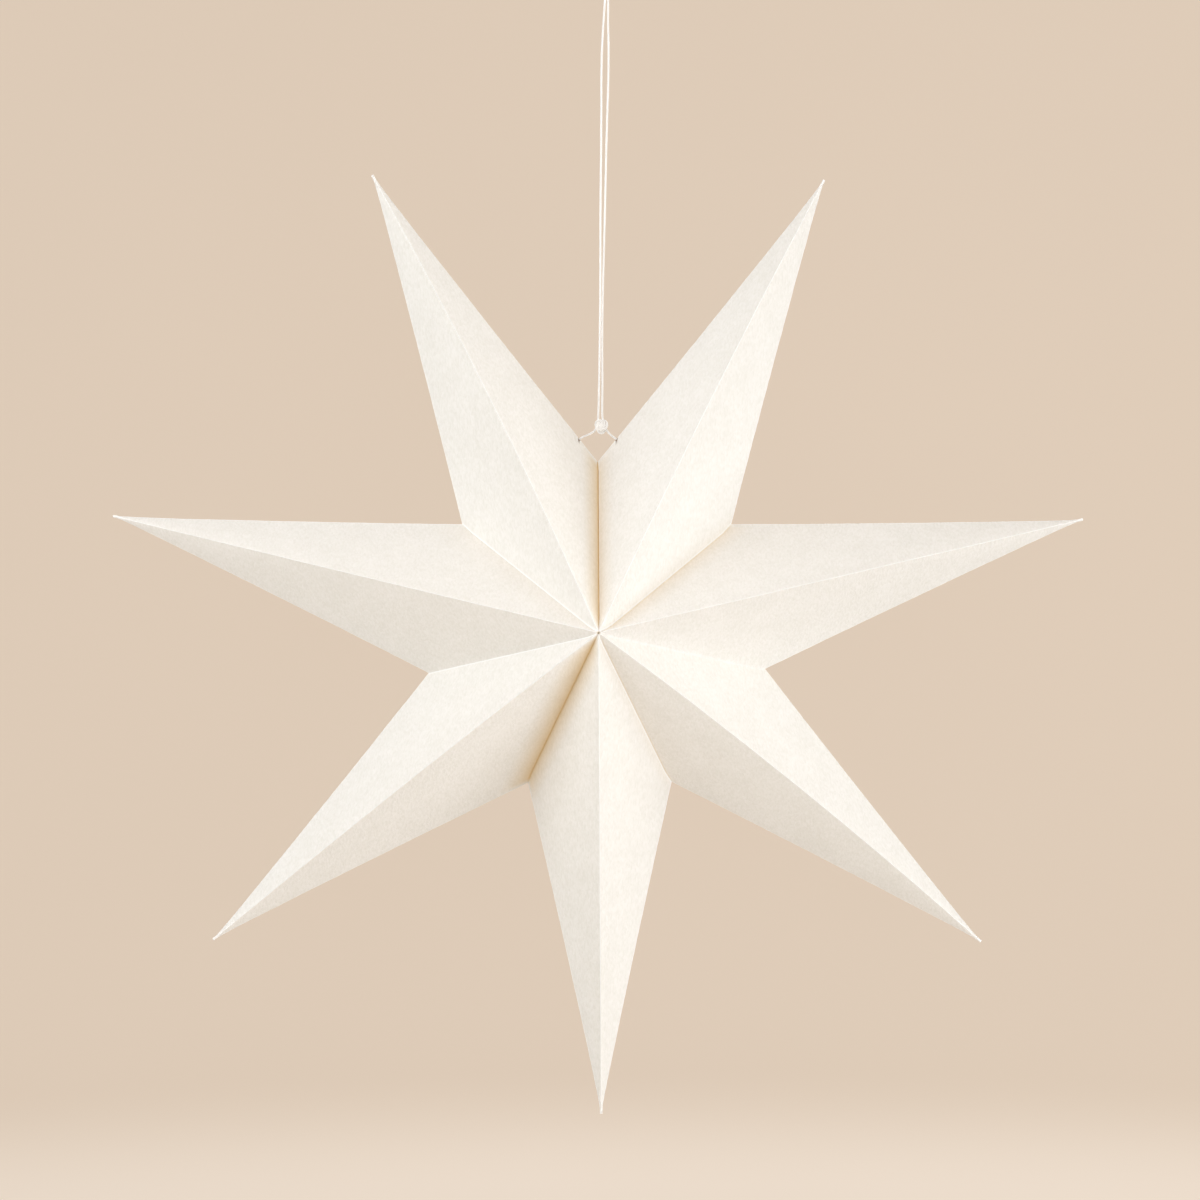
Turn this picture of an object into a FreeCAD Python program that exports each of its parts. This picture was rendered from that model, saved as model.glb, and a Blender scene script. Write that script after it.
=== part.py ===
import FreeCAD, Part
import math
import os

# A seven-pointed paper star that hangs from a knotted cord.
# Millimetres. X runs to the right, Y to the back and Z up. The front of the star faces -Y, and the
# origin is where the hook bears on the inside of the hanging loop, so everything lies below it.

vector = FreeCAD.Vector

# --- The paper star ---
star_width = 600.0            # across the two level points
notch_radius = 106.0          # from the middle of the star to the bottom of each notch
half_depth = 80.0             # from the middle plane to the front or back centre
paper = 0.35                  # thickness of the sheet
fold_radius = 0.3             # outside of every fold
star_turn = 0.8               # how far the star hangs turned, counterclockwise from the front
star_offset = 0.4             # the star's middle hangs this far right of the plumb line
centre_hole = 1.8             # left where the folded corners of all the points meet
seam_gap = 1.2                # the open seam at the top, which only the cord holds shut

# Each point is one folded sheet: name, lean of its tip in degrees, extra reach of its tip.
# They run counterclockwise from the open seam at the top.
points = [
    ("upper_left_point", 0.9, 4.5),
    ("left_point", 0.0, 1.0),
    ("lower_left_point", 0.5, 1.5),
    ("bottom_point", 0.3, -4.0),
    ("lower_right_point", -0.9, 0.5),
    ("right_point", -0.3, -0.5),
    ("upper_right_point", -1.0, 1.5),
]

# Each valley between two points: lean in degrees, extra reach. The first is the open seam.
valleys = [
    (0.4, -3.5),
    (1.6, 0.0),
    (2.3, 3.5),
    (1.3, 0.5),
    (-0.5, 0.5),
    (-1.3, 0.5),
    (-0.7, -2.0),
]

# The blunt nose of each point, where the folded layers are pinched together
nose_width = 1.8
nose_overrun = 3.5            # how far the nose reaches past the place where the folds would meet

# Glued edges inside each point
flap_width = 12.0             # flaps that are glued to the neighbouring points along the valleys
flap_end_gap = 4.0            # the flaps stop this far from the star's axis
tab_width = 10.0              # tab that closes the sheet along its back ridge
tab_end_gap = 30.0            # the tab stops this far from the middle and from the tip

# --- The cord ---
cord = 1.4                    # diameter
hole_clearance = 1.0          # the holes in the folds are this much wider than the cord
hole_from_notch = 18.0        # along the fold, from the bottom of the notch
hole_behind_fold = 0.5
hook = 7.0                    # diameter of the hook that the loop hangs over
hook_wrap = 188.0             # degrees of the hook that the loop goes round
loop_half_gap = 1.0           # half the distance between the two ends of the loop at its knot
stopper_knot_width = 4.6
stopper_knot_length = 4.4
stopper_seat = 0.8            # keeps the knot just off the inside of the fold
closing_knot_width = 8.6
closing_knot_length = 10.1
loop_knot_width = 7.6
loop_knot_length = 9.0
loop_drop = 38.0              # from the hook down to the top of the loop knot
closing_knot_top = 309.7      # from the hook down to the top of the closing knot
closing_knot_offset = 0.2
knot_rounding = 0.22          # a knot's ends are rounded by this share of its width
knot_overlap = 1.0            # a cord's path runs this far into its knot before it is cut there
leg_drop = 7.33               # from the closing knot's middle down to the cord holes
leg_inside = 3.0              # the legs' paths start this far inside the holes
leg_outside = 1.6             # and leave the paper straight for this long
leg_entry_side = 3.2          # where a leg enters the closing knot, beside its middle
leg_entry_drop = 2.0          # and below its middle
leg_sag = 0.5

# The two strands between the knots, from the loop knot down: x, y, z
left_strand_route = [
    (-1.0, -0.1, -46.0),
    (-1.9, -0.3, -62.0),
    (-3.1, -0.1, -88.0),
    (-2.4, 0.1, -135.0),
    (-2.3, -0.2, -182.0),
    (-1.6, -0.5, -232.0),
    (-1.5, -0.4, -276.0),
    (-1.7, -0.1, -311.0),
]
right_strand_route = [
    (0.7, 0.1, -46.0),
    (0.6, 0.3, -62.0),
    (1.7, 0.2, -90.0),
    (0.8, 0.1, -140.0),
    (0.5, 0.4, -186.0),
    (-0.2, 0.7, -236.0),
    (0.0, 0.8, -268.0),
    (0.6, 0.3, -289.0),
    (0.5, 0.1, -311.0),
]

tip_radius = star_width / 2 / math.cos(math.pi / 2 / len(points))
share = 360.0 / len(points)
cord_hole = cord + hole_clearance
centre = vector(0, 0, 0)      # the star is made about its own middle and then hung from its holes
reach_past = 2 * tip_radius   # tool solids run past the star by this much


def from_centre(angle, radius):
    turned = math.radians(angle)
    return centre + vector(radius * math.cos(turned), 0, radius * math.sin(turned))


def valley_angle(number):
    lean = valleys[number % len(valleys)][0]
    return 90 + star_turn + share * number + lean


def valley_end(number):
    reach = valleys[number % len(valleys)][1]
    return from_centre(valley_angle(number), notch_radius + reach)


def fold_apex(number):
    """Where the four folds of a point would meet."""
    lean, reach = points[number][1:]
    angle = 90 + star_turn + share * (number + 0.5) + lean
    return from_centre(angle, tip_radius + reach - nose_overrun)


def unit(v):
    return vector(v) * (1.0 / v.Length)


def solid_from(loops):
    """A closed solid from the corner loops of its flat faces."""
    faces = [Part.Face(Part.makePolygon(loop + loop[:1])) for loop in loops]
    solid = Part.Solid(Part.Shell(faces))
    if solid.Volume < 0:
        solid.reverse()
    return solid


def prism(corners, depth_from, depth_to):
    """A prism along Y on an outline in the XZ plane."""
    outline = [vector(p.x, depth_from, p.z) for p in corners]
    face = Part.Face(Part.makePolygon(outline + outline[:1]))
    return face.extrude(vector(0, depth_to - depth_from, 0))


def step_inwards(normals, distances):
    """The step in the XZ plane that moves two planes inwards, each by its own distance."""
    (a, b), (p, q) = normals, distances
    det = a.x * b.z - a.z * b.x
    return vector((q * a.z - p * b.z) / det, 0, (p * b.x - q * a.x) / det)


def moved(shape, step):
    copy = shape.copy()
    copy.translate(step)
    return copy


def drill(diameter, start, axis, length, seam):
    """A round cutter whose own seam line points towards seam, clear of the paper it cuts."""
    cutter = Part.makeCylinder(diameter / 2, length)
    turn = FreeCAD.Rotation(seam, vector(0, 0, 0), axis, "ZXY")
    cutter.Placement = FreeCAD.Placement(start, turn)
    return cutter


class PointFrame:
    """The folds, facets and glued walls of one point of the star."""

    def __init__(self, number):
        self.apex = fold_apex(number)
        self.axis = unit(self.apex - centre)
        self.front = centre + vector(0, -half_depth, 0)
        self.back = centre + vector(0, half_depth, 0)
        self.ends = [valley_end(number), valley_end(number + 1)]
        self.facets = [self.facet_normal(end) for end in self.ends]
        self.walls = [self.wall_normal(end) for end in self.ends]

    def facet_normal(self, end):
        normal = unit((end - self.front).cross(self.apex - self.front))
        return normal if normal.y < 0 else normal * -1

    def wall_normal(self, end):
        along = unit(end - centre)
        return unit(along * self.axis.dot(along) - self.axis)

    def ray(self, corner):
        """From the apex along a fold, as a step of 1 mm along the point's axis."""
        fold = corner - self.apex
        return fold * (-1.0 / fold.dot(self.axis))

    def section(self, distance):
        """The four folds cut square to the axis, this far from the apex."""
        corners = [self.front, self.ends[0], self.back, self.ends[1]]
        return [self.apex + self.ray(corner) * distance for corner in corners]

    def pyramid(self):
        """Everything between the four facets, which runs on past the star's axis."""
        base = self.section(reach_past)
        sides = [[self.apex, base[i], base[(i + 1) % 4]] for i in range(4)]
        return solid_from(sides + [base])

    def sector(self):
        """Everything between the two glued walls."""
        rays = [unit(end - centre) * reach_past for end in self.ends]
        corners = [centre, centre + rays[0], centre + rays[1]]
        return prism(corners, -reach_past, reach_past)

    def nose(self):
        ray = self.ray(self.ends[0]) - self.ray(self.ends[1])
        start = nose_width / ray.Length
        corners = self.section(start)
        face = Part.Face(Part.makePolygon(corners + corners[:1]))
        return face.extrude(self.axis * (start + nose_overrun))

    def flap_step(self):
        """Moves the facets in until a strip as wide as a flap is left on each wall."""
        depths = []
        for facet, wall in zip(self.facets, self.walls):
            depths.append(flap_width * facet.cross(wall).Length)
        return step_inwards(self.facets, depths)

    def tab_area(self):
        """The strip beside the back ridge that the closing tab covers."""
        ridge = unit(self.apex - self.back)
        facet = vector(self.facets[1].x, -self.facets[1].y, self.facets[1].z)
        side = vector(self.axis.z, 0, -self.axis.x)
        if side.dot(self.ends[1] - centre) < 0:
            side = side * -1
        reach = side * abs(facet.cross(ridge).dot(side)) * tab_width
        length = (self.apex - centre).Length
        start = centre + self.axis * tab_end_gap
        end = centre + self.axis * (length - tab_end_gap)
        mitre = self.axis * (tab_width / 2)
        return prism([start, end, end + reach - mitre, start + reach + mitre], 0, reach_past)


def with_rounded_folds(solid):
    """The folds are the long edges, apart from those that run along the star's axis."""
    folds = []
    for edge in solid.Edges:
        along_axis = abs(edge.tangentAt(edge.FirstParameter).y) > 0.99
        if edge.Length > notch_radius / 2 and not along_axis:
            folds.append(edge)
    return solid.makeFillet(fold_radius, folds)


def cord_hole_place(point_frame, side):
    """Middle of the cord hole in a fold beside the open seam, and its axis into the point."""
    notch = point_frame.ends[side]
    fold = unit(point_frame.apex - notch)
    inwards = vector(-fold.z, 0, fold.x)
    if inwards.dot(point_frame.ends[1 - side] - notch) < 0:
        inwards = inwards * -1
    middle = notch + fold * hole_from_notch + vector(0, hole_behind_fold, 0)
    return middle, inwards


def paper_point(number):
    """One sheet, folded into a hollow point with glue flaps along its valleys."""
    frame = PointFrame(number)
    last = len(points) - 1
    gaps = [seam_gap / 2 if number == 0 else 0, seam_gap / 2 if number == last else 0]
    pyramid = frame.pyramid()
    sector = frame.sector()
    thickness_step = step_inwards(frame.facets, [paper, paper])
    inner_pyramid = moved(pyramid, thickness_step)

    outside = pyramid.common(moved(sector, step_inwards(frame.walls, gaps)))
    outside = with_rounded_folds(outside.fuse(frame.nose()).removeSplitter())
    inner_gaps = [gap + paper for gap in gaps]
    hollow = inner_pyramid.common(moved(sector, step_inwards(frame.walls, inner_gaps)))
    tab = hollow.cut(moved(pyramid, thickness_step * 2)).common(frame.tab_area())
    hollow = hollow.cut(tab)

    window = moved(pyramid, frame.flap_step())
    through = (frame.front, frame.back - frame.front, 2 * half_depth, frame.axis * -1)
    flap_ends = drill(2 * flap_end_gap, *through).common(inner_pyramid)
    sheet = outside.cut([hollow, window, flap_ends, drill(centre_hole, *through)])
    for side, at_seam in enumerate([number == 0, number == last]):
        if at_seam:
            middle, inwards = cord_hole_place(frame, side)
            start = middle - inwards * cord_hole
            away = vector(0, -1, 0)
            sheet = sheet.cut(drill(cord_hole, start, inwards, 3 * cord_hole, away))
    return sheet.removeSplitter()


def cord_path(route, label):
    """Straight runs joined by arcs that are as large as their two runs allow."""
    corners = [vector(*p) for p in route]
    edges = []
    radii = []
    start = corners[0]
    for before, corner, after in zip(corners, corners[1:], corners[2:]):
        back = before - corner
        on = after - corner
        half_turn = (math.pi - back.getAngle(on)) / 2
        tangent = 0.45 * min(back.Length, on.Length)
        radius = tangent / math.tan(half_turn)
        arc_start = corner + unit(back) * tangent
        arc_end = corner + unit(on) * tangent
        middle = corner + unit(unit(back) + unit(on)) * (radius / math.cos(half_turn) - radius)
        edges.append(Part.LineSegment(start, arc_start).toShape())
        edges.append(Part.Arc(arc_start, middle, arc_end).toShape())
        radii.append(radius)
        start = arc_end
    edges.append(Part.LineSegment(start, corners[-1]).toShape())
    print(label, "cord radii", [round(radius, 1) for radius in radii])
    return Part.Wire(edges)


def tube(route, label):
    path = cord_path(route, label)
    first, second = vector(*route[0]), vector(*route[1])
    ring = Part.Wire(Part.Circle(first, second - first, cord / 2).toShape())
    solid = path.makePipeShell([ring], True, False)
    expected = math.pi * (cord / 2) ** 2 * path.Length
    print(label, "length", round(path.Length, 1), "volume share", round(solid.Volume / expected, 4))
    return solid


def knot(middle, axis, width, length):
    """The outer shape of a tight knot: a short barrel with rounded ends."""
    barrel = Part.makeCylinder(width / 2, length, vector(0, 0, -length / 2))
    rims = [edge for edge in barrel.Edges if edge.Closed]
    barrel = barrel.makeFillet(knot_rounding * width, rims)
    barrel.Placement = FreeCAD.Placement(middle, FreeCAD.Rotation(vector(0, 0, 1), axis))
    return barrel


def stopper(middle, inwards):
    """Knot inside a top point, drawn up against its cord hole."""
    place = vector(middle.x, 0, middle.z) + inwards * (stopper_seat + stopper_knot_width * 0.75)
    return knot(place, inwards, stopper_knot_width, stopper_knot_length)


def hanging_loop_route():
    """Up from the loop knot, over the hook and down again."""
    corner_radius = hook / 2 + cord / 2
    wrap_corners = 4
    turn = hook_wrap / wrap_corners
    corner_reach = corner_radius / math.cos(math.radians(turn / 2))
    route = [(-loop_half_gap, 0.0, -loop_drop - knot_overlap)]
    for step in range(wrap_corners):
        angle = math.radians(90 + turn * (wrap_corners / 2 - 0.5 - step))
        route.append((corner_reach * math.cos(angle), 0.0, corner_reach * math.sin(angle) - hook / 2))
    route.append((loop_half_gap, 0.0, -loop_drop - knot_overlap))
    return route


os.makedirs("parts", exist_ok=True)
parts = {}
down = vector(0, 0, -1)
closing_middle = vector(closing_knot_offset, 0, -closing_knot_top - closing_knot_length / 2)
loop_middle = vector(0, 0, -loop_drop - loop_knot_length / 2)
parts["closing_knot"] = knot(closing_middle, down, closing_knot_width, closing_knot_length)
parts["loop_knot"] = knot(loop_middle, down, loop_knot_width, loop_knot_length)

# The star hangs from its two cord holes, one on each side of the open seam.
last_point = len(points) - 1
left_hole, left_inwards = cord_hole_place(PointFrame(0), 0)
right_hole, right_inwards = cord_hole_place(PointFrame(last_point), 1)
hole_height = (left_hole.z + right_hole.z) / 2
star_place = vector(star_offset, 0, closing_middle.z - leg_drop - hole_height)
for number, point in enumerate(points):
    parts[point[0]] = moved(paper_point(number), star_place)

# Each leg runs from its stopper knot out through the paper and up to the closing knot.
for name, hole, inwards, sign in (
    ("left", left_hole + star_place, left_inwards, -1),
    ("right", right_hole + star_place, right_inwards, 1),
):
    outside = hole - inwards * leg_outside
    knot_side = closing_middle + vector(sign * leg_entry_side, 0, -leg_entry_drop)
    half_way = (outside + knot_side) * 0.5 - vector(0, 0, leg_sag)
    route = [tuple(p) for p in (hole + inwards * leg_inside, outside, half_way, knot_side)]
    parts[name + "_stopper_knot"] = stopper(hole, inwards)
    knots = [parts["closing_knot"], parts[name + "_stopper_knot"]]
    parts[name + "_leg"] = tube(route, name + " leg").cut(knots)

knots = [parts["closing_knot"], parts["loop_knot"]]
parts["left_strand"] = tube(left_strand_route, "left strand").cut(knots)
parts["right_strand"] = tube(right_strand_route, "right strand").cut(knots)
parts["hanging_loop"] = tube(hanging_loop_route(), "hanging loop").cut(parts["loop_knot"])

print("middle of the star", star_place)
for name, shape in parts.items():
    print(name, "solids", len(shape.Solids), "valid", shape.isValid(), "volume", round(shape.Volume, 1))
    shape.exportStep("parts/" + name + ".step")
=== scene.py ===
import math

import bmesh
import bpy
from mathutils import Matrix, Vector, noise


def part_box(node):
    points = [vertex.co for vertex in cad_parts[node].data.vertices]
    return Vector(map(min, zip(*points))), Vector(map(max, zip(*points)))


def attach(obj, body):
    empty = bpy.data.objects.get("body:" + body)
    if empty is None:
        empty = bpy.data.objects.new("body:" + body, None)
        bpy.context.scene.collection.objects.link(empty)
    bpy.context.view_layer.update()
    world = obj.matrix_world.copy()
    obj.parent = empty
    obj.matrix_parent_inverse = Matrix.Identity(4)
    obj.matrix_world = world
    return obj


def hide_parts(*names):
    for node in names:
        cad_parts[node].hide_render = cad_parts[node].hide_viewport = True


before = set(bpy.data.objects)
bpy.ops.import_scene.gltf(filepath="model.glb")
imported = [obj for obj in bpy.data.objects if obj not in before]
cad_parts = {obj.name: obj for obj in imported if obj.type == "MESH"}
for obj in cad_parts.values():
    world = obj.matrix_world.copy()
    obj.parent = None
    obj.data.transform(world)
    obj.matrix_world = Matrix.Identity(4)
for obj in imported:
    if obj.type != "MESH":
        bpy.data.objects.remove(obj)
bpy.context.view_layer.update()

# A folded paper star on a knotted cord. Sizes are in millimetres and become metres when a mesh is made.
# X runs right, Y to the back and Z up. The hook carries the cord loop at the origin.

scene = bpy.context.scene


def linear(hexColour):
    channels = [int(hexColour[i:i + 2], 16) / 255 for i in (0, 2, 4)]
    steps = [c / 12.92 if c <= 0.04045 else ((c + 0.055) / 1.055) ** 2.4 for c in channels]
    return (*steps, 1.0)


def metres(place):
    return Vector(place) * 0.001


def smooth(value, low, high):
    t = min(1.0, max(0.0, (value - low) / (high - low)))
    return t * t * (3 - 2 * t)


def addNode(material, kind, settings=None, links=None):
    node = material.node_tree.nodes.new(kind)
    for key, value in (settings or {}).items():
        if isinstance(key, str) and hasattr(node, key):
            setattr(node, key, value)
        else:
            node.inputs[key].default_value = value
    for key, socket in (links or {}).items():
        material.node_tree.links.new(socket, node.inputs[key])
    return node


def newMaterial(name):
    material = bpy.data.materials.new(name)
    material.use_nodes = True
    material.node_tree.nodes.clear()
    return material


def newObject(name, mesh, material):
    made = bpy.data.objects.new(name, mesh)
    scene.collection.objects.link(made)
    mesh.materials.clear()
    mesh.materials.append(material)
    return made


def newPiece(name, mesh, material, replaced):
    piece = newObject(name, mesh, material)
    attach(piece, "root")
    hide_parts(*replaced)
    return piece


def pieceName(node):
    # left_stopper_knot becomes leftStopperKnot
    first, *others = node.split("_")
    return first + "".join(word.title() for word in others)


# Camera

view = dict(
    target=(0.91, 0.0, -421.85),  # what the camera looks at
    distance=2000.0,
    elevation=2.0,                # degrees above level
    roll=0.82,                    # degrees
    width=744.0,                  # how much it sees from side to side at the target
    sensor=36.0,
    farthest=50000.0,
)


def makeCamera():
    data = bpy.data.cameras.new("camera")
    data.sensor_width = view["sensor"]
    data.lens = view["sensor"] * view["distance"] / view["width"]
    data.clip_end = view["farthest"] * 0.001
    camera = bpy.data.objects.new("camera", data)
    scene.collection.objects.link(camera)
    tilt = math.radians(view["elevation"])
    back = Vector((0, -math.cos(tilt), math.sin(tilt)))
    camera.location = metres(view["target"]) + back * view["distance"] * 0.001
    camera.rotation_mode = "QUATERNION"
    roll = Matrix.Rotation(math.radians(view["roll"]), 3, "Z").to_quaternion()
    camera.rotation_quaternion = (-back).to_track_quat("-Z", "Y") @ roll
    scene.camera = camera
    print("camera made")


# Cord

cord = dict(
    diameter=1.4,
    plies=3,
    plyShare=0.32,                # a ply's radius in cord diameters; soft plies press into each other
    layLength=4.4,                # along the cord for one turn of a ply
    step=0.45,                    # along the cord between two rings of a ply
)

# From the knot inside the left top point, out through its fold, up through both knots, over the
# hook, and back down to the right top point.
cordRoute = [
    (-15.45, 0.5, -324.1), (-11.9, 0.5, -321.2), (-7.4, 0.25, -319.5), (-3.0, 0.0, -316.7),
    (-1.7, -0.1, -311.0), (-1.5, -0.4, -276.0), (-1.6, -0.5, -232.0), (-2.3, -0.2, -182.0),
    (-2.4, 0.1, -135.0), (-3.1, -0.1, -88.0), (-1.9, -0.3, -62.0), (-1.0, -0.1, -46.0),
    (-1.0, 0.0, -39.0), (-3.4, 0.0, -12.0), (-4.3, 0.0, -2.0), (-1.8, 0.0, 0.7),
    (1.8, 0.0, 0.7), (4.3, 0.0, -2.0), (3.4, 0.0, -12.0), (1.0, 0.0, -39.0),
    (0.7, 0.1, -46.0), (0.6, 0.3, -62.0), (1.7, 0.2, -90.0), (0.8, 0.1, -140.0),
    (0.5, 0.4, -186.0), (-0.2, 0.7, -236.0), (0.0, 0.8, -268.0), (0.6, 0.3, -289.0),
    (0.5, 0.1, -311.0), (3.4, 0.0, -316.7), (5.8, 0.25, -319.4), (8.1, 0.5, -321.0),
    (11.7, 0.5, -323.8),
]

# Each knot: CAD node, size, how far it has slid up from the node's middle, and cords tied side by side.
knots = [
    dict(node="closing_knot", size=(7.7, 5.6, 8.8), lift=0.6, cords=2),
    dict(node="loop_knot", size=(7.0, 5.4, 8.2), lift=0.0, cords=2),
    dict(node="left_stopper_knot", size=(5.0, 4.6, 5.0), lift=0.0, cords=1),
    dict(node="right_stopper_knot", size=(5.0, 4.6, 5.0), lift=0.0, cords=1),
]
knotForm = dict(
    lobe=0.68,                    # how deeply its line swings in from its rim
    pull=1.15,                    # its turns bear outwards by this much
    inset=0.8,                    # from its outside in to its line, in cord diameters
    turns=120,                    # steps of its line
    core=0.41,                    # radius of the cord packed inside it, as a share of its size
)


def splineLine(route):
    curve = bpy.data.curves.new("cordLine", "CURVE")
    curve.dimensions = "3D"
    curve.resolution_u = 40
    spline = curve.splines.new("NURBS")
    spline.points.add(len(route) - 1)
    for point, place in zip(spline.points, route):
        point.co = (*place, 1)
    spline.order_u = 3
    spline.use_endpoint_u = True
    holder = bpy.data.objects.new("cordLine", curve)
    mesh = bpy.data.meshes.new_from_object(holder)
    line = [vertex.co.copy() for vertex in mesh.vertices]
    bpy.data.objects.remove(holder)
    return line


def evenly(line, step):
    # the same line with its points spaced evenly, and its length
    along = [0.0]
    for a, b in zip(line, line[1:]):
        along.append(along[-1] + (b - a).length)
    count = max(2, round(along[-1] / step))
    spaced = []
    at = 0
    for i in range(count + 1):
        goal = along[-1] * i / count
        while at < len(line) - 2 and along[at + 1] < goal:
            at += 1
        part = (goal - along[at]) / max(1e-9, along[at + 1] - along[at])
        spaced.append(line[at].lerp(line[at + 1], part))
    return spaced, along[-1]


def crossAxes(line):
    # two directions square to the line at each of its points, turning as little as they can
    ends = [line[0]] + line + [line[-1]]
    side = (line[1] - line[0]).orthogonal()
    axes = []
    for before, after in zip(ends, ends[2:]):
        tangent = (after - before).normalized()
        side = (side - tangent * side.dot(tangent)).normalized()
        axes.append((side, tangent.cross(side)))
    return axes


def twisted(line, length):
    # the plies laid round the cord's own line, and their radius
    count = cord["plies"]
    plyRadius = cord["diameter"] * cord["plyShare"]
    offset = cord["diameter"] / 2 - plyRadius
    axes = crossAxes(line)
    lines = []
    for k in range(count):
        ply = []
        for i, (place, (side, up)) in enumerate(zip(line, axes)):
            angle = math.tau * (length * i / (len(line) - 1) / cord["layLength"] + k / count)
            ply.append(place + (side * math.cos(angle) + up * math.sin(angle)) * offset)
        lines.append(ply)
    return lines, plyRadius


def yarnMesh(name, lines, radius):
    curve = bpy.data.curves.new(name, "CURVE")
    curve.dimensions = "3D"
    curve.bevel_depth = radius * 0.001
    curve.bevel_resolution = 2
    curve.use_fill_caps = True
    for line in lines:
        spline = curve.splines.new("POLY")
        spline.points.add(len(line) - 1)
        for point, place in zip(spline.points, line):
            point.co = (*metres(place), 1)
    holder = bpy.data.objects.new(name, curve)
    mesh = bpy.data.meshes.new_from_object(holder)
    mesh.name = name
    mesh.shade_smooth()
    bpy.data.objects.remove(holder)
    return mesh


yarn = dict(
    shaded="FDFCFA",
    light="FFFFFF",
    fibre=5 / 13,                 # spacing of its tufts of fibres
    fibreHeight=0.1,
    fibreStrength=0.3,
    roughness=0.85,
)


def twistedCotton():
    # spun and twisted cotton: matt and soft, with fine fibres that blur its edge
    material = newMaterial("twistedCotton")
    place = addNode(material, "ShaderNodeTexCoord").outputs["Object"]
    fibres = addNode(material, "ShaderNodeTexNoise", {"Scale": 1000 / yarn["fibre"], "Detail": 3},
                     {"Vector": place}).outputs["Fac"]
    colour = addNode(material, "ShaderNodeMix",
                     {"data_type": "RGBA", 6: linear(yarn["shaded"]), 7: linear(yarn["light"])},
                     {"Factor": fibres})
    bump = addNode(material, "ShaderNodeBump",
                   {"Strength": yarn["fibreStrength"], "Distance": yarn["fibreHeight"] * 0.001},
                   {"Height": fibres})
    surface = addNode(material, "ShaderNodeBsdfPrincipled", {"Roughness": yarn["roughness"]},
                      {"Base Color": colour.outputs[2], "Normal": bump.outputs["Normal"]})
    addNode(material, "ShaderNodeOutputMaterial", None, {"Surface": surface.outputs["BSDF"]})
    return material


def knotLine(middle, size):
    # an overhand knot's closed line: three lobes, two up and one down
    across, deep, high = (side / 2 - cord["diameter"] * knotForm["inset"] for side in size)
    lobe, pull = knotForm["lobe"], knotForm["pull"]
    line = []
    for i in range(knotForm["turns"] + 1):
        t = math.tau * i / knotForm["turns"]
        radius = (1 + lobe * math.cos(3 * t)) / (1 + lobe)
        angle = 2 * t - math.pi / 2
        line.append(middle + Vector((
            across * radius * math.cos(angle) * pull,
            deep * math.sin(3 * t),
            high * radius * math.sin(angle) * pull,
        )))
    return line


def makeKnots(cotton):
    made = []
    for knot in knots:
        low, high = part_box(knot["node"])
        middle = (low + high) * 500 + Vector((0, 0, knot["lift"]))  # half way, in millimetres
        line, length = evenly(knotLine(middle, knot["size"]), cord["step"])
        plies = []
        for shift in ((-0.5, 0.5) if knot["cords"] == 2 else (0.0,)):
            beside = []
            for place, after in zip(line, line[1:] + line[1:2]):
                away = (after - place).cross(Vector((0, 1, 0))).normalized()
                beside.append(place + away * shift * cord["diameter"])
            more, radius = twisted(beside, length)
            plies += more
        name = pieceName(knot["node"])
        mesh = yarnMesh(name, plies, radius)
        core = Matrix.Diagonal((*(metres(knot["size"]) * knotForm["core"]), 1))
        bm = bmesh.new()
        bm.from_mesh(mesh)
        bmesh.ops.create_uvsphere(bm, u_segments=24, v_segments=16, radius=1,
                                  matrix=Matrix.Translation(metres(middle)) @ core)
        bm.to_mesh(mesh)
        bm.free()
        mesh.shade_smooth()
        made.append(newPiece(name, mesh, cotton, [knot["node"]]))
    print("knots made")
    return made


def makeCord(cotton):
    line, length = evenly(splineLine(cordRoute), cord["step"])
    plies, radius = twisted(line, length)
    mesh = yarnMesh("hangingCord", plies, radius)
    stretches = ["left_leg", "left_strand", "hanging_loop", "right_strand", "right_leg"]
    piece = newPiece("hangingCord", mesh, cotton, stretches)
    makeKnots(cotton)
    print("cord made", round(length, 1), "mm")


# Paper star

star = dict(
    middle=(0.4, 0.0, -438.6),
    width=600.0,                  # across the two level points
    notchRadius=106.0,            # from the middle to the bottom of a notch
    halfDepth=80.0,               # from the middle plane to the front or back centre
    turn=0.8,                     # degrees that the star hangs turned
    paper=0.35,                   # thickness of the sheet
    foldLength=300.0,             # from a tip to the centre, near enough
    foldReach=0.45,               # how far a fold rounds off on each side of its line
    centreReach=0.15,             # and beside the star's centre
    centreBlend=0.975,            # share of its length where that begins
    foldRim=0.5,                  # then its painted highlight fades out over this much
    foldShare=0.25,               # but a fold and its rim take no more than these shares
    rimShare=0.1,                 # of a facet's width
    noseHalf=(0.65, 0.95),        # half the thickness and half the width of a pinched tip
    noseOverrun=1.9,              # how far the tip reaches past where the folds would meet
    nosePinch=0.3,                # how much narrower its very end is
    noseOpening=4.0,              # reach of the open end that is filled there
    facetHeight=133.0,            # from the end of a tip's folds to a valley's line
    centreHole=0.55,              # radius left open where all the sheets meet
    flapDepth=(15.0, 19.9),       # how far the glued flaps run in at the centre and at the notch
    flapStart=0.05,               # share of a flap that closes the opening between two sheets
    sideSag=0.45,                 # how far the outer folds draw in at mid-length
    bulge=0.6,                    # how far a facet crowns between its folds
    waviness=0.14,                # and how far it swells or sinks, over the next length
    waveLength=48.0,
    waveWidth=40.0,               # less where the facet is narrower than this
    waveStop=0.04,                # and over this share of its length before the valley
    lineWander=0.1,               # unevenness of the hand-made folds, over the next two lengths
    wanderLengths=(4.0, 25.0),
    wanderStop=0.02,              # dying out over this share of a fold at the valley
    sharpAngle=50.0,              # degrees past which an edge shades sharp
    facetColumns=19,              # of the mesh, across a facet
    foldColumns=5,                # round a fold
    rows=190,                     # and from the tip to the valley
)

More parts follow.
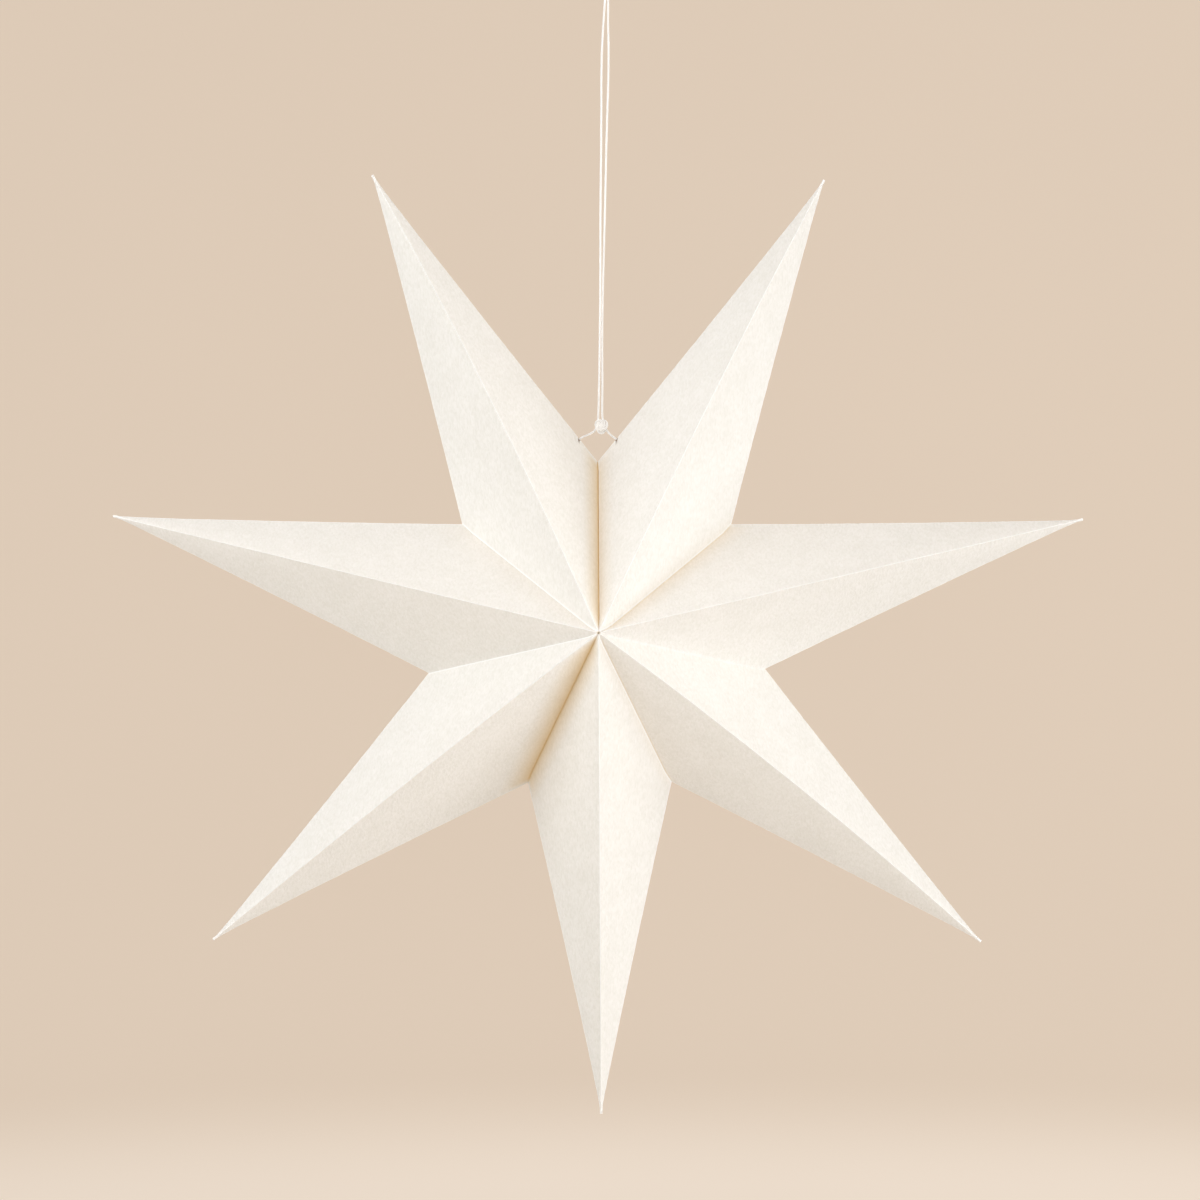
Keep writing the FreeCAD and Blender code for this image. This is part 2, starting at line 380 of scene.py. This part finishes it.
# Each point: CAD node, lean in degrees, extra reach, sideways bow of its ridges.
points = [
    dict(node="upper_left_point", lean=0.9, reach=4.5, bow=-3.9),
    dict(node="left_point", lean=0.0, reach=1.0, bow=0.2),
    dict(node="lower_left_point", lean=0.5, reach=1.5, bow=-1.5),
    dict(node="bottom_point", lean=0.3, reach=-4.0, bow=0.0),
    dict(node="lower_right_point", lean=-0.9, reach=0.5, bow=3.6),
    dict(node="right_point", lean=-0.3, reach=-0.5, bow=0.0),
    dict(node="upper_right_point", lean=-1.0, reach=1.5, bow=2.2),
]

# Each valley, counterclockwise from the open seam at the top: lean in degrees, extra reach, gap on
# each side of it at the front and at the back, and how far its line is drawn aside near the centre and
# near the notch. Of the two sheets, before and after: how strongly shade is painted onto the paper, over
# how wide a strip, how strongly along the line itself, and how strongly a white highlight is painted along
# its edge.
valleys = [
    dict(lean=0.4, reach=-3.5, gap=(0.25, 0.01), aside=(-0.3, -0.3),
         shade=(0.2, 0.44), spread=(10.0, 11.0), line=(0.0, 0.22), white=(0.2, 0.0)),
    dict(lean=1.6, reach=0.0, gap=(0.0, 0.0), aside=(0.9, 0.6),
         shade=(0.0, 0.05), spread=(5.0, 20.0), line=(0.0, 0.0), white=(0.8, 0.0)),
    dict(lean=2.3, reach=3.5, gap=(0.0, 0.0), aside=(0.9, 0.0),
         shade=(0.0, 0.0), spread=(5.0, 5.0), line=(0.0, 0.0), white=(0.0, 0.8)),
    dict(lean=1.3, reach=0.5, gap=(0.04, 0.0), aside=(0.2, -0.6),
         shade=(0.48, 0.36), spread=(15.0, 11.0), line=(0.25, 0.12), white=(0.0, 0.0)),
    dict(lean=-0.5, reach=0.5, gap=(0.0, 0.0), aside=(-0.8, -0.9),
         shade=(0.05, 0.03), spread=(8.0, 14.0), line=(0.0, 0.13), white=(0.7, 0.0)),
    dict(lean=-1.3, reach=0.5, gap=(0.0, 0.0), aside=(-0.6, -0.8),
         shade=(0.0, 0.0), spread=(5.0, 5.0), line=(0.0, 0.0), white=(0.3, 0.3)),
    dict(lean=-0.7, reach=-2.0, gap=(0.0, 0.0), aside=(-1.6, -1.1),
         shade=(0.17, 0.03), spread=(12.0, 10.0), line=(0.1, 0.0), white=(0.0, 0.7)),
]

# What all the valleys share.
valleyForm = dict(
    asideWidth=20.0,              # how wide a strip of the sheet is drawn aside with the line
    notchRun=9.0,                 # over which the line comes back to true at the notch
    centreRun=7.0,                # and at the centre
    gapRun=12.0,                  # over which the gap closes at the centre
    shadeFall=1.6,                # how fast the painted shade thins out across its strip
    lineFade=(0.5, 1.1),          # from and to how far off the line its own painted shade fades
    whiteFade=(0.6, 0.9),         # and the painted highlight on the sheet's edge
    turnWhite=(0.4, 0.8),         # shares of the turn into a flap over which the painted highlight ends
    turnShade=(0.4, 1.0),         # and the flap's painted shade sets in
    centreFade=(0.8, 2.2),        # radii between which the painted highlight round the star's centre fades
    notchShade=(-2.0, 5.0),       # where the painted shade sets in near the notch
    centreShade=(1.0, 6.0),       # and near the centre
    flapShade=0.6,                # painted shade down between the flaps
    roll=0.02,                    # radius of the turn into a flap where there is no gap
    gapRoll=0.3,                  # and more for each millimetre of gap
)

share = 360 / len(points)         # degrees from one point to the next
tipRadius = star["width"] / 2 / math.cos(math.pi / 2 / len(points))


def polar(angle, radius):
    turned = math.radians(angle)
    return Vector((radius * math.cos(turned), 0, radius * math.sin(turned)))


def valleyAngle(number):
    return 90 + star["turn"] + share * number + valleys[number % len(valleys)]["lean"]


def valleyEnd(number):
    return polar(valleyAngle(number), star["notchRadius"] + valleys[number % len(valleys)]["reach"])


def pointFolds(number):
    # the four folds of a point run from its apex: front ridge, left, back ridge, right
    point = points[number]
    angle = 90 + star["turn"] + share * (number + 0.5) + point["lean"]
    apex = polar(angle, tipRadius + point["reach"] - star["noseOverrun"])
    axis = apex.normalized()
    depth = Vector((0, star["halfDepth"], 0))
    ends = [-depth, valleyEnd(number + 1), depth, valleyEnd(number)]
    return dict(
        apex=apex,
        axis=axis,
        side=Vector((-axis.z, 0, axis.x)),
        ends=ends,
        wallDistance=abs(apex.dot(polar(angle + share / 2 + 90, 1))),
        bow=point["bow"],
        number=number,
    )


def wander(folds, k, t):
    # how far fold k strays sideways at share t of its length
    fine, coarse = star["wanderLengths"]
    strays = 0.0
    for row, length in ((k, fine), (k + 9, coarse)):
        seed = Vector((folds["number"] * 7.3, row * 3.1, t * star["foldLength"] / length))
        strays += noise.noise(seed) * star["lineWander"]
    return strays


def foldAt(folds, k, t):
    # place on fold k, at share t of the way from the apex to its end; the pinched tip has t below 0
    run = folds["ends"][k] - folds["apex"]
    axial = run.dot(folds["axis"])
    lateral = run - folds["axis"] * axial
    half = star["noseHalf"][k % 2]
    reach = math.hypot(half, max(t, 0) * lateral.length)
    reach *= 1 - star["nosePinch"] * smooth(-t, 0.85, 1.0)
    along = axial * t if t >= 0 else -star["noseOverrun"] * t
    crown = 4 * t * (1 - t) if 0 < t < 1 else 0
    place = folds["apex"] + folds["axis"] * along + lateral.normalized() * reach
    if k % 2:
        place -= lateral.normalized() * star["sideSag"] * crown
    else:
        place += folds["side"] * folds["bow"] * crown
    return place + folds["side"] * wander(folds, k, t) * smooth(1 - t, 0, star["wanderStop"])


def facetValley(folds, k):
    # the valley that facets 0 and 1, or 2 and 3, run down to, and which of its two sheets they are
    after = k in (0, 1)
    return valleys[(folds["number"] + after) % len(valleys)], 0 if after else 1


def valleyGap(folds, column):
    # half the opening between the two sheets; it closes towards the star's centre
    kind, k, across = column
    if kind == "fold" and k % 2 == 0:
        return 0.0
    gap = facetValley(folds, k)[0]["gap"][k in (1, 2)]
    fromCentre = (across if k in (0, 2) else 1 - across) * star["facetHeight"]
    return gap if kind == "fold" else gap * smooth(fromCentre, 0, valleyForm["gapRun"])


def foldedPlace(folds, column, t):
    # place on the outside of the folded sheet, before its valleys are rolled in
    kind, k, across = column
    before, corner, after = (foldAt(folds, (k + step) % 4, t) for step in (-1, 0, 1))
    length = (after - corner).length
    most = star["foldReach"]
    if k % 2 == 0:
        most += (star["centreReach"] - most) * smooth(t, star["centreBlend"], 1.0)
    reach = min(most, star["foldShare"] * length)
    if kind == "fold":
        back = min(most, star["foldShare"] * (before - corner).length)
        a = corner + (before - corner).normalized() * back
        b = corner + (after - corner).normalized() * reach
        return a.lerp(corner, across).lerp(corner.lerp(b, across), across)
    along = (after - corner) / length
    reach += min(star["foldRim"], star["rimShare"] * length)
    place = corner + along * (reach + (length - 2 * reach) * across)
    if t <= 0:
        return place
    out = corner + after
    out -= folds["axis"] * out.dot(folds["axis"])
    normal = (after - corner).cross(folds["apex"] - corner).normalized()
    normal *= math.copysign(1, normal.dot(out))
    edge = math.sin(math.pi * across)  # 0 at both folds and 1 midway
    wave = noise.noise(place / star["waveLength"] + Vector((0, 0, 5.7 * folds["number"])))
    lift = star["bulge"] * edge * 4 * t * (1 - t)
    wave *= star["waviness"]
    lift += wave * min(1, edge * 3) * min(1, length / star["waveWidth"]) * smooth(1 - t, 0, star["waveStop"])
    return place + normal * lift


def valleyDraw(folds, column, t):
    # how far the sheet is drawn aside near its valley, and how strongly shade is painted on it there
    kind, k, across = column
    if kind == "fold":
        return Vector(), 0.0
    valley, which = facetValley(folds, k)
    length = star["facetHeight"]  # a valley is about as long
    fromNotch = (1 - across if k in (0, 2) else across) * length
    fromCentre = length - fromNotch
    fade = smooth(fromNotch, 0, valleyForm["notchRun"]) * smooth(fromCentre, 0, valleyForm["centreRun"])
    away = (1 - t) * folds["wallDistance"]
    # painted shade: darker and amber towards the valley, where the fold lies in its own shade
    dim = max(0.0, 1 - away / valley["spread"][which]) ** valleyForm["shadeFall"] * valley["shade"][which]
    dim += valley["line"][which] * (1 - smooth(away, *valleyForm["lineFade"])) * (1 - dim)
    dim = dim * smooth(fromNotch, *valleyForm["notchShade"]) * smooth(fromCentre, *valleyForm["centreShade"])
    first, last = valley["aside"]
    aside = first + (last - first) * (1 - fromNotch / length)
    aside *= max(0.0, 1 - away / valleyForm["asideWidth"]) * fade
    return polar(valleyAngle(folds["number"] + (which == 0)) + 90, aside), dim


def flapRun(folds, column):
    # how far, and which way, a glued flap runs in from its valley
    kind, k, across = column
    runs = []
    for corner in (k, (k + 1) % 4):
        if corner % 2:
            runs.append(-folds["ends"][corner].normalized() * star["flapDepth"][1])
        else:
            runs.append(Vector((0, 1 - corner, 0)) * star["flapDepth"][0])
    return runs[0] if kind == "fold" else runs[0].lerp(runs[1], across)


def facetVertex(folds, column, t, back):
    # a vertex of the facet, this far back from its valley
    valley, which = facetValley(folds, column[1])
    drawn, shade = valleyDraw(folds, column, t)
    place = foldedPlace(folds, column, t) + drawn
    # painted highlight: white along the folds, along the edge of a valley's sheet and round the star's
    # centre
    foldHighlight = 1.0 if column[0] == "fold" else 0.0
    edge = valley["white"][which] * (1 - smooth(back, *valleyForm["whiteFade"]))
    centre = 1 - smooth(math.hypot(place.x, place.z), *valleyForm["centreFade"])
    return place, max(foldHighlight, edge, centre), shade * (1 - centre)


def turnVertex(folds, column, t, value, gap):
    # a vertex of the tight turn from the facet into its flap
    valley, which = facetValley(folds, column[1])
    drawn, shade = valleyDraw(folds, column, t)
    place = foldedPlace(folds, column, t) + drawn
    before = t - 0.004  # close by, to tell which way the facet comes in
    earlier = foldedPlace(folds, column, before) + valleyDraw(folds, column, before)[0]
    reach = valleyForm["roll"] + valleyForm["gapRoll"] * gap
    a = place + (earlier - place).normalized() * reach
    b = place + flapRun(folds, column).normalized() * reach
    turned = a.lerp(place, value).lerp(place.lerp(b, value), value)
    white = valley["white"][which] * (1 - smooth(value, *valleyForm["turnWhite"]))
    return turned, white, max(shade, valleyForm["flapShade"] * smooth(value, *valleyForm["turnShade"]))


def flapVertex(folds, column, t, value, gap):
    # a vertex of the flap, which closes up on the next sheet's flap as it runs in
    k = column[1]
    which = facetValley(folds, k)[1]
    place = foldedPlace(folds, column, t) + valleyDraw(folds, column, t)[0]
    end = folds["ends"][(k + 1) % 4 if k % 2 == 0 else k].normalized()
    shut = Vector((-end.z, 0, end.x)) * (1 if which == 0 else -1)
    run = flapRun(folds, column)
    place = place + run * value + shut * gap * smooth(value, 0, star["flapStart"])
    return place, 0.0, valleyForm["flapShade"]


def sheetVertex(folds, column, row):
    # place, painted fold highlight and painted valley shade of one vertex of the sheet
    part, value = row
    gap = valleyGap(folds, column)
    t = 1 - gap / folds["wallDistance"]
    if part == "tip":
        place, foldHighlight, shade = foldedPlace(folds, column, -value), float(column[0] == "fold"), 0.0
    elif part == "facet":
        place, foldHighlight, shade = facetVertex(folds, column, t - value / star["facetHeight"], value)
    elif part == "turn":
        place, foldHighlight, shade = turnVertex(folds, column, t, value, gap)
    else:
        place, foldHighlight, shade = flapVertex(folds, column, t, value, gap)
    return clearOfCentre(place, folds), foldHighlight, shade


def clearOfCentre(place, folds):
    # the sheets leave a pinhole where all of them meet
    out = Vector((place.x, 0, place.z))
    if out.length < 0.02:  # too near the middle to say which way is out
        out = folds["axis"] * 0.02
    if out.length < star["centreHole"]:
        out *= star["centreHole"] / out.length
    return Vector((out.x, place.y, out.z))


def sheetColumns():
    # round the point: each fold, and the facet after it with its columns closer near the folds
    columns = []
    for k in range(4):
        for i in range(star["foldColumns"]):
            columns.append(("fold", k, i / (star["foldColumns"] - 1)))
        last = star["facetColumns"] - 1
        for i in range(last + 1):
            eased = 0.5 - 0.5 * math.cos(math.pi * i / last)
            columns.append(("facet", k, 0.5 * (i / last + eased)))
    return columns + columns[:1]


def sheetRows():
    # from the end of the pinched tip down the facets, counted back from the valley, and on into the flaps
    rows = [("tip", value) for value in (1.0, 0.93, 0.8, 0.5, 0.25)]  # share of the tip
    nearest, run = 1.6, star["facetHeight"] - 2.2
    for i in range(star["rows"]):
        back = (1 - i / (star["rows"] - 1)) ** 1.25  # closer together near the valley
        rows.append(("facet", nearest + run * back))
    rows += [("facet", value) for value in (1.25, 0.9, 0.6, 0.4, 0.25)]  # millimetres back
    rows += [("turn", value) for value in (0.0, 0.33, 0.67, 1.0)]
    rows += [("flap", value) for value in (0.012, 0.025, 0.038, star["flapStart"], 0.3, 1.0)]
    return rows


card = dict(
    shaded="F1EFEA",
    light="FAF8F5",
    paintedHighlightWhite="FFFFFF",
    amber="E0B000",
    paintedHoleBrown="6B4A1E",
    feltMark=1.25,                # spacing of the felt marks, drawn as coarse as they need to show
    feltSlant=-0.7,               # radians
    feltStretch=(1.0, 0.6, 0.4),
    feltHeight=0.5,
    feltStrength=0.6,
    cloud=50 / 3,                 # size of a soft cloud in the paper
    feltShare=3.2,                # how much more the felt marks show than the clouds
    toneRange=(1.5, 2.7),         # of both together, from the shaded to the light tone
    roughness=0.9,
)


def ivoryPaper():
    # uncoated felt-marked card: matt ivory with short slanting felt marks and a soft cloudiness, with a
    # white painted highlight along the folds, painted amber shade down in the valleys and painted brown
    # shade in the cord holes
    material = newMaterial("feltMarkedIvoryCard")
    place = addNode(material, "ShaderNodeTexCoord").outputs["Object"]
    foldHighlight, shade, holeShade = (
        addNode(material, "ShaderNodeAttribute", {"attribute_name": name}).outputs["Fac"]
        for name in ("foldHighlight", "paintedValleyShade", "holeShade")
    )
    slanted = addNode(material, "ShaderNodeMapping",
                      {"Rotation": (0, card["feltSlant"], 0), "Scale": card["feltStretch"]},
                      {"Vector": place})
    felt = addNode(material, "ShaderNodeTexNoise",
                   {"Scale": 1000 / card["feltMark"], "Detail": 3, "Distortion": 0.6},
                   {"Vector": slanted.outputs["Vector"]}).outputs["Fac"]
    cloud = addNode(material, "ShaderNodeTexNoise", {"Scale": 1000 / card["cloud"], "Detail": 3},
                    {"Vector": place}).outputs["Fac"]
    both = addNode(material, "ShaderNodeMath", {"operation": "MULTIPLY_ADD", 1: card["feltShare"]},
                   {0: felt, 2: cloud})
    low, high = card["toneRange"]
    tone = addNode(material, "ShaderNodeMapRange", {"From Min": low, "From Max": high},
                   {"Value": both.outputs[0]})
    base = addNode(material, "ShaderNodeMix",
                   {"data_type": "RGBA", 6: linear(card["shaded"]), 7: linear(card["light"])},
                   {"Factor": tone.outputs["Result"]})
    colour = base.outputs[2]
    # painted valley shade, then the painted highlight on the folds, then the painted shade at the cord holes
    for strength, tint in ((shade, "amber"), (foldHighlight, "paintedHighlightWhite"), (holeShade, "paintedHoleBrown")):
        tinted = addNode(material, "ShaderNodeMix", {"data_type": "RGBA", 7: linear(card[tint])},
                         {"Factor": strength, 6: colour})
        colour = tinted.outputs[2]
    bump = addNode(material, "ShaderNodeBump",
                   {"Strength": card["feltStrength"], "Distance": card["feltHeight"] * 0.001},
                   {"Height": felt})
    surface = addNode(material, "ShaderNodeBsdfPrincipled", {"Roughness": card["roughness"]},
                      {"Base Color": colour, "Normal": bump.outputs["Normal"]})
    addNode(material, "ShaderNodeOutputMaterial", None, {"Surface": surface.outputs["BSDF"]})
    return material


cordHole = dict(
    radius=1.1,
    cuts=4,
    fine=2.5,                     # in radii: how far out the cuts make the mesh finer
    paintedHoleBrown=(1.05, 1.45),         # the painted shade at the hole's rim fades between these
    around=3.0,                   # and nothing past this is touched
)
holePlaces = {
    "upper_left_point": dict(middle=(-13.13, 0.5, -322.18), inwards=(-0.775, 0.0, -0.632)),
    "upper_right_point": dict(middle=(9.39, 0.5, -321.98), inwards=(0.786, 0.0, -0.618)),
}


def spoke(place, middle, axis):
    # from the hole's axis straight out to the place
    away = place - middle
    return away - axis * away.dot(axis)


def cutCordHole(bm, hole):
    # a round hole through the fold: faces inside it go, and its rim is drawn onto the circle
    middle = metres(hole["middle"])
    axis = Vector(hole["inwards"]).normalized()
    radius = cordHole["radius"] * 0.001
    fine, around = cordHole["fine"] * radius, cordHole["around"] * radius
    near = [edge for edge in bm.edges if all((vert.co - middle).length < fine for vert in edge.verts)]
    bmesh.ops.subdivide_edges(bm, edges=near, cuts=cordHole["cuts"], use_grid_fill=True)
    inside = []
    for face in bm.faces:
        centre = face.calc_center_median()
        if (centre - middle).length < around and spoke(centre, middle, axis).length < radius:
            inside.append(face)
    bmesh.ops.delete(bm, geom=inside, context="FACES")
    holeShade = bm.verts.layers.float["holeShade"]
    start, end = cordHole["paintedHoleBrown"]
    for vert in bm.verts:
        if (vert.co - middle).length < around:
            away = spoke(vert.co, middle, axis)
            if vert.is_boundary:
                vert.co += away.normalized() * (radius - away.length)
            # painted shade: the rim darkens to brown, where the hole lies in shade
            vert[holeShade] = 1 - smooth(away.length, start * radius, end * radius)


def foldSheet(number):
    # a flat grid folded round into a hollow point, with its flaps turned in
    folds = pointFolds(number)
    node = points[number]["node"]
    columns = sheetColumns()
    rows = sheetRows()
    middle = Vector(star["middle"])
    bm = bmesh.new()
    foldHighlight = bm.verts.layers.float.new("foldHighlight")
    shade = bm.verts.layers.float.new("paintedValleyShade")
    bm.verts.layers.float.new("holeShade")
    bmesh.ops.create_grid(bm, x_segments=len(columns) - 1, y_segments=len(rows) - 1, size=1)
    for vert in bm.verts:
        column = columns[round((vert.co.x + 1) / 2 * (len(columns) - 1))]
        row = rows[round((vert.co.y + 1) / 2 * (len(rows) - 1))]
        place, vert[foldHighlight], vert[shade] = sheetVertex(folds, column, row)
        vert.co = metres(place + middle)
    bmesh.ops.remove_doubles(bm, verts=bm.verts, dist=1e-6)
    tip = metres(folds["apex"] + folds["axis"] * star["noseOverrun"] + middle)
    opening = star["noseOpening"] * 0.001
    tipEdges = [edge for edge in bm.edges if edge.is_boundary and (edge.verts[0].co - tip).length < opening]
    bmesh.ops.edgeloop_fill(bm, edges=tipEdges)
    if node in holePlaces:
        cutCordHole(bm, holePlaces[node])
    bmesh.ops.recalc_face_normals(bm, faces=bm.faces)
    mesh = bpy.data.meshes.new(node)
    bm.to_mesh(mesh)
    bm.free()
    return mesh


def makeStar(paper):
    for number, point in enumerate(points):
        name = pieceName(point["node"])
        holder = newObject("holder", foldSheet(number), paper)
        wall = holder.modifiers.new("paper", "SOLIDIFY")
        wall.thickness = star["paper"] * 0.001
        wall.offset = -1
        bpy.context.view_layer.update()
        mesh = bpy.data.meshes.new_from_object(holder.evaluated_get(bpy.context.evaluated_depsgraph_get()))
        mesh.name = name
        mesh.shade_smooth()
        mesh.set_sharp_from_angle(angle=math.radians(star["sharpAngle"]))
        bpy.data.objects.remove(holder)
        newPiece(name, mesh, paper, [point["node"]])
        print("sheet folded:", name, len(mesh.polygons), "faces")


# Stage

stage = dict(
    floorLevel=-1500.0,
    radius=3500.0,
    height=3600.0,
    cove=450.0,                   # radius of the turn from the floor into the wall
    coveSteps=12,
    spinSteps=96,
    wall="E6D4C1",
    floor="F8E9D9",
    toneRise=171.0,               # height over which the floor's tone gives way to the wall's
    toneLean=-0.02,               # and how that height changes from left to right
    cloud=625.0,                  # size of the faint clouds in the paint
    glow=(1.245, 1.285),          # how brightly the paint shows, from cloud to cloud
    sideGlow=0.022,               # more on the right, and less on the left, this far out
    sideReach=1200.0,
    glowShare=0.55,               # the rest is lit by the lamps
)

lamps = [
    dict(name="leftBox", place=(-2200, -900, -350), size=(1400, 1600), power=10.9, colour="F6FFFE"),
    dict(name="rightHigh", place=(2000, -1000, 500), size=(1400, 1400), power=12.7, colour="FFFBF2"),
    dict(name="rightLow", place=(1700, -1000, -1250), size=(1400, 1400), power=17.1, colour="F8FBFF"),
    dict(name="topFill", place=(0, -1200, 1500), size=(1800, 1800), power=13.0, colour="FFF1E7"),
    dict(name="floorBounce", place=(0, -600, -1350), size=(2400, 1800), power=4.6, colour="FFDFB5"),
    dict(name="leftCard", place=(-1200, -600, -430), size=(800, 800), power=1.9, colour="FFFAFC"),
    dict(name="leftHigh", place=(-900, -700, 200), size=(700, 700), power=3.8, colour="F4FBFF"),
    dict(name="rightCard", place=(1200, -600, -430), size=(800, 800), power=1.5, colour="E6F6FF"),
    dict(name="frontFill", place=(0, -2600, -200), size=(1400, 1400), power=9.0, colour="FFFFFF"),
    dict(name="backFill", place=(0, 2400, 300), size=(2400, 2000), power=50.0, colour="FFFDF8"),
]
ambient = dict(colour="FFF7ED", strength=0.305)


def backdropPaint():
    # matt emulsion rolled on board: an even tone with faint clouds, paler where the floor begins
    material = newMaterial("mattBackdropPaint")
    place = addNode(material, "ShaderNodeTexCoord").outputs["Object"]
    parts = addNode(material, "ShaderNodeSeparateXYZ", None, {"Vector": place}).outputs
    height = addNode(material, "ShaderNodeMath", {"operation": "MULTIPLY_ADD", 1: stage["toneLean"]},
                     {0: parts["X"], 2: parts["Z"]})
    low = stage["floorLevel"] * 0.001
    high = low + stage["toneRise"] * 0.001
    lift = addNode(material, "ShaderNodeMapRange",
                   {"From Min": low, "From Max": high, "interpolation_type": "SMOOTHSTEP"},
                   {"Value": height.outputs[0]})
    tone = addNode(material, "ShaderNodeMix",
                   {"data_type": "RGBA", 6: linear(stage["floor"]), 7: linear(stage["wall"])},
                   {"Factor": lift.outputs["Result"]}).outputs[2]
    clouds = addNode(material, "ShaderNodeTexNoise", {"Scale": 1000 / stage["cloud"], "Detail": 2},
                     {"Vector": place})
    dullest, brightest = stage["glow"]
    cloudy = addNode(material, "ShaderNodeMapRange", {"To Min": dullest, "To Max": brightest},
                     {"Value": clouds.outputs["Fac"]})
    reach = stage["sideReach"] * 0.001
    sideways = addNode(material, "ShaderNodeMapRange",
                       {"From Min": -reach, "From Max": reach,
                        "To Min": -stage["sideGlow"], "To Max": stage["sideGlow"]},
                       {"Value": parts["X"]})
    strength = addNode(material, "ShaderNodeMath", {"operation": "ADD"},
                       {0: cloudy.outputs["Result"], 1: sideways.outputs["Result"]})
    glow = addNode(material, "ShaderNodeEmission", None, {"Color": tone, "Strength": strength.outputs[0]})
    matt = addNode(material, "ShaderNodeBsdfDiffuse", None, {"Color": tone})
    painted = addNode(material, "ShaderNodeMixShader", {0: stage["glowShare"]},
                      {1: matt.outputs[0], 2: glow.outputs[0]})
    rays = addNode(material, "ShaderNodeLightPath").outputs
    seen = rays["Is Camera Ray"]
    for other in ("Is Glossy Ray", "Is Transmission Ray"):
        either = addNode(material, "ShaderNodeMath", {"operation": "MAXIMUM"}, {0: seen, 1: rays[other]})
        seen = either.outputs[0]
    front = addNode(material, "ShaderNodeMixShader", None,
                    {0: seen, 1: matt.outputs[0], 2: painted.outputs[0]})
    behind = addNode(material, "ShaderNodeNewGeometry").outputs["Backfacing"]
    clear = addNode(material, "ShaderNodeBsdfTransparent")
    surface = addNode(material, "ShaderNodeMixShader", None,
                      {0: behind, 1: front.outputs[0], 2: clear.outputs[0]})
    addNode(material, "ShaderNodeOutputMaterial", None, {"Surface": surface.outputs[0]})
    return material


def makeStage():
    # a round sweep of painted board: the same floor and wall whichever way the star is seen
    level, radius, cove = stage["floorLevel"], stage["radius"], stage["cove"]
    profile = [(0, level), (radius * 0.5, level)]
    for i in range(stage["coveSteps"] + 1):
        turned = math.pi / 2 * i / stage["coveSteps"]
        profile.append((radius - cove + cove * math.sin(turned), level + cove - cove * math.cos(turned)))
    profile.append((radius, level + stage["height"]))
    bm = bmesh.new()
    line = [bm.verts.new(metres((x, 0, z))) for x, z in profile]
    edges = [bm.edges.new(pair) for pair in zip(line, line[1:])]
    bmesh.ops.spin(bm, geom=line + edges, axis=(0, 0, 1), cent=(0, 0, 0), angle=math.tau,
                   steps=stage["spinSteps"], use_merge=True)
    bmesh.ops.remove_doubles(bm, verts=bm.verts, dist=1e-5)
    bmesh.ops.recalc_face_normals(bm, faces=bm.faces)
    if sum(face.normal.z * face.calc_area() for face in bm.faces) < 0:
        bmesh.ops.reverse_faces(bm, faces=bm.faces)
    mesh = bpy.data.meshes.new("studioSweep")
    bm.to_mesh(mesh)
    bm.free()
    mesh.shade_smooth()
    sweep = newObject("studioSweep", mesh, backdropPaint())
    sweep.visible_diffuse = False
    sweep.visible_shadow = False
    print("stage made")


def makeLights():
    for lamp in lamps:
        data = bpy.data.lights.new(lamp["name"], "AREA")
        data.shape = "RECTANGLE"
        data.size, data.size_y = (side * 0.001 for side in lamp["size"])
        data.energy = lamp["power"]
        data.color = linear(lamp["colour"])[:3]
        light = bpy.data.objects.new(lamp["name"], data)
        scene.collection.objects.link(light)
        light.location = metres(lamp["place"])
        towards = metres(star["middle"]) - light.location
        light.rotation_euler = towards.to_track_quat("-Z", "Y").to_euler()
        light.visible_camera = False
    world = bpy.data.worlds.new("studio")
    scene.world = world
    world.use_nodes = True
    background = world.node_tree.nodes["Background"]
    background.inputs["Color"].default_value = linear(ambient["colour"])
    background.inputs["Strength"].default_value = ambient["strength"]
    print("lights made")


makeCamera()
makeCord(twistedCotton())
makeStar(ivoryPaper())
makeStage()
makeLights()
scene.view_settings.view_transform = "Standard"
